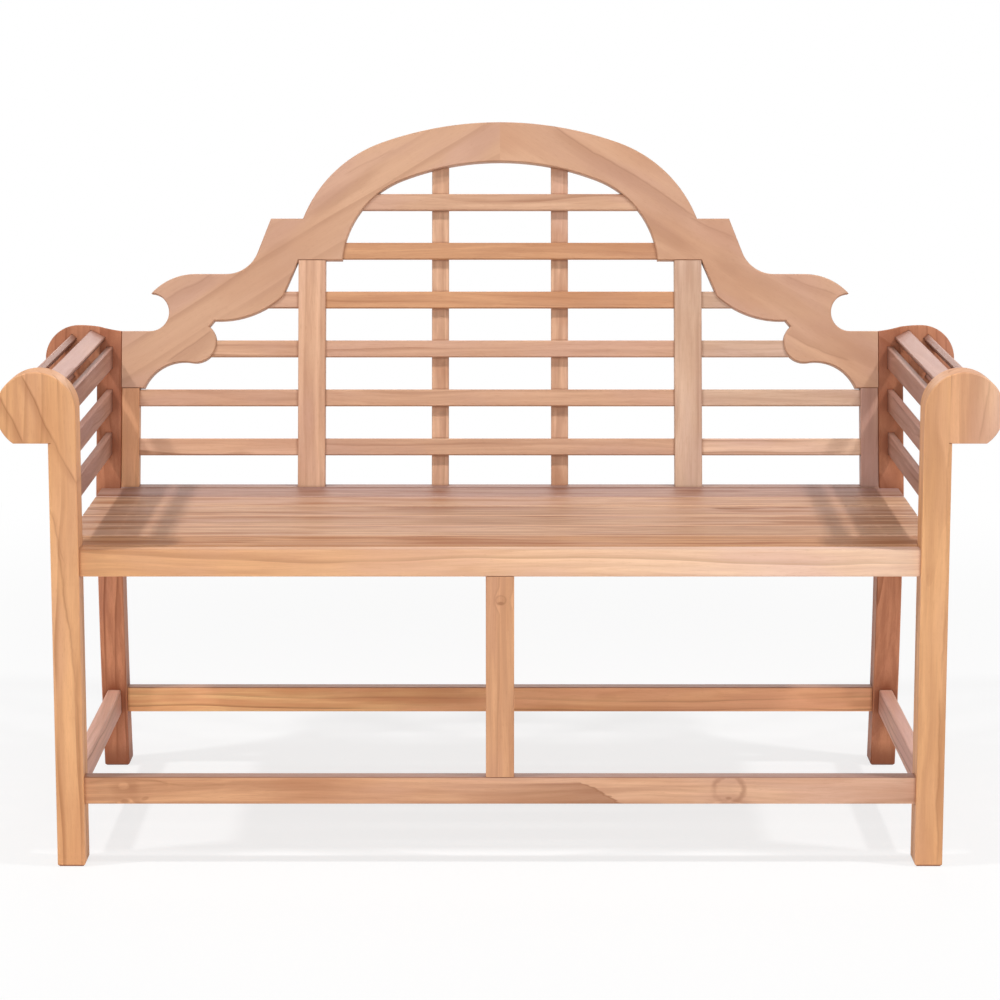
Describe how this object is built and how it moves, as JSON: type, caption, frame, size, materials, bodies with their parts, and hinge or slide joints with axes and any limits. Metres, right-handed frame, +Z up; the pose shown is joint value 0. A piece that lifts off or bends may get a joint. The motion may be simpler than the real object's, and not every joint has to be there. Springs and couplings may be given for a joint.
{
  "type": "garden bench",
  "caption": "Wide teak garden bench with a slatted seat and reclined slatted back under a serpentine crest, and rolled slatted arms that end in scrolls.",
  "frame": {"origin": "on the ground under the middle of the bench's outer box", "axes": "+X along the bench's length to the sitter's left, -Y the way the bench faces, +Z up"},
  "size_m": [1.384, 0.6198, 0.9925],
  "materials": {
    "front_teak": "sanded, unvarnished",
    "seat_teak": "sanded, unvarnished",
    "crest_teak": "sanded, unvarnished",
    "frame_teak": "sanded, unvarnished",
    "back_teak": "sanded, unvarnished"
  },
  "bodies": {
    "root": {"arm_roll_slat_1_left": "frame_teak", "arm_roll_slat_1_right": "frame_teak", "arm_roll_slat_2_left": "frame_teak", "arm_roll_slat_2_right": "frame_teak", "arm_roll_slat_3_left": "frame_teak", "arm_roll_slat_3_right": "frame_teak", "arm_side_slat_1_left": "frame_teak", "arm_side_slat_1_right": "frame_teak", "arm_side_slat_2_left": "frame_teak", "arm_side_slat_2_right": "frame_teak", "arm_side_slat_3_left": "frame_teak", "arm_side_slat_3_right": "frame_teak", "back_bar_left": "back_teak", "back_bar_right": "back_teak", "back_post_left": "back_teak", "back_post_right": "back_teak", "back_slat_1": "back_teak", "back_slat_2": "back_teak", "back_slat_3": "back_teak", "back_slat_4": "back_teak", "back_slat_5": "back_teak", "back_slat_6": "back_teak", "back_stile_left": "back_teak", "back_stile_right": "back_teak", "crest_dowels": "crest_teak", "crest_left": "crest_teak", "crest_right": "crest_teak", "end_stretcher_left": "frame_teak", "end_stretcher_right": "frame_teak", "front_centre_post": "front_teak", "front_leg_left": "front_teak", "front_leg_right": "front_teak", "front_scroll_left": "front_teak", "front_scroll_right": "front_teak", "front_stretcher": "front_teak", "rear_leg_left": "frame_teak", "rear_leg_right": "frame_teak", "rear_scroll_left": "frame_teak", "rear_scroll_right": "frame_teak", "rear_stretcher": "frame_teak", "seat_bearer": "frame_teak", "seat_end_rail_left": "frame_teak", "seat_end_rail_right": "frame_teak", "seat_front_rail": "front_teak", "seat_rear_rail": "frame_teak", "seat_slat_1": "seat_teak", "seat_slat_2": "seat_teak", "seat_slat_3": "seat_teak", "seat_slat_4": "seat_teak", "seat_slat_5": "seat_teak", "seat_slat_6": "seat_teak", "wing_slat_1_left": "back_teak", "wing_slat_1_right": "back_teak", "wing_slat_2_left": "back_teak", "wing_slat_2_right": "back_teak", "wing_slat_3_left": "back_teak", "wing_slat_3_right": "back_teak", "wing_slat_4_left": "back_teak", "wing_slat_4_right": "back_teak"}
  },
  "joints": []
}
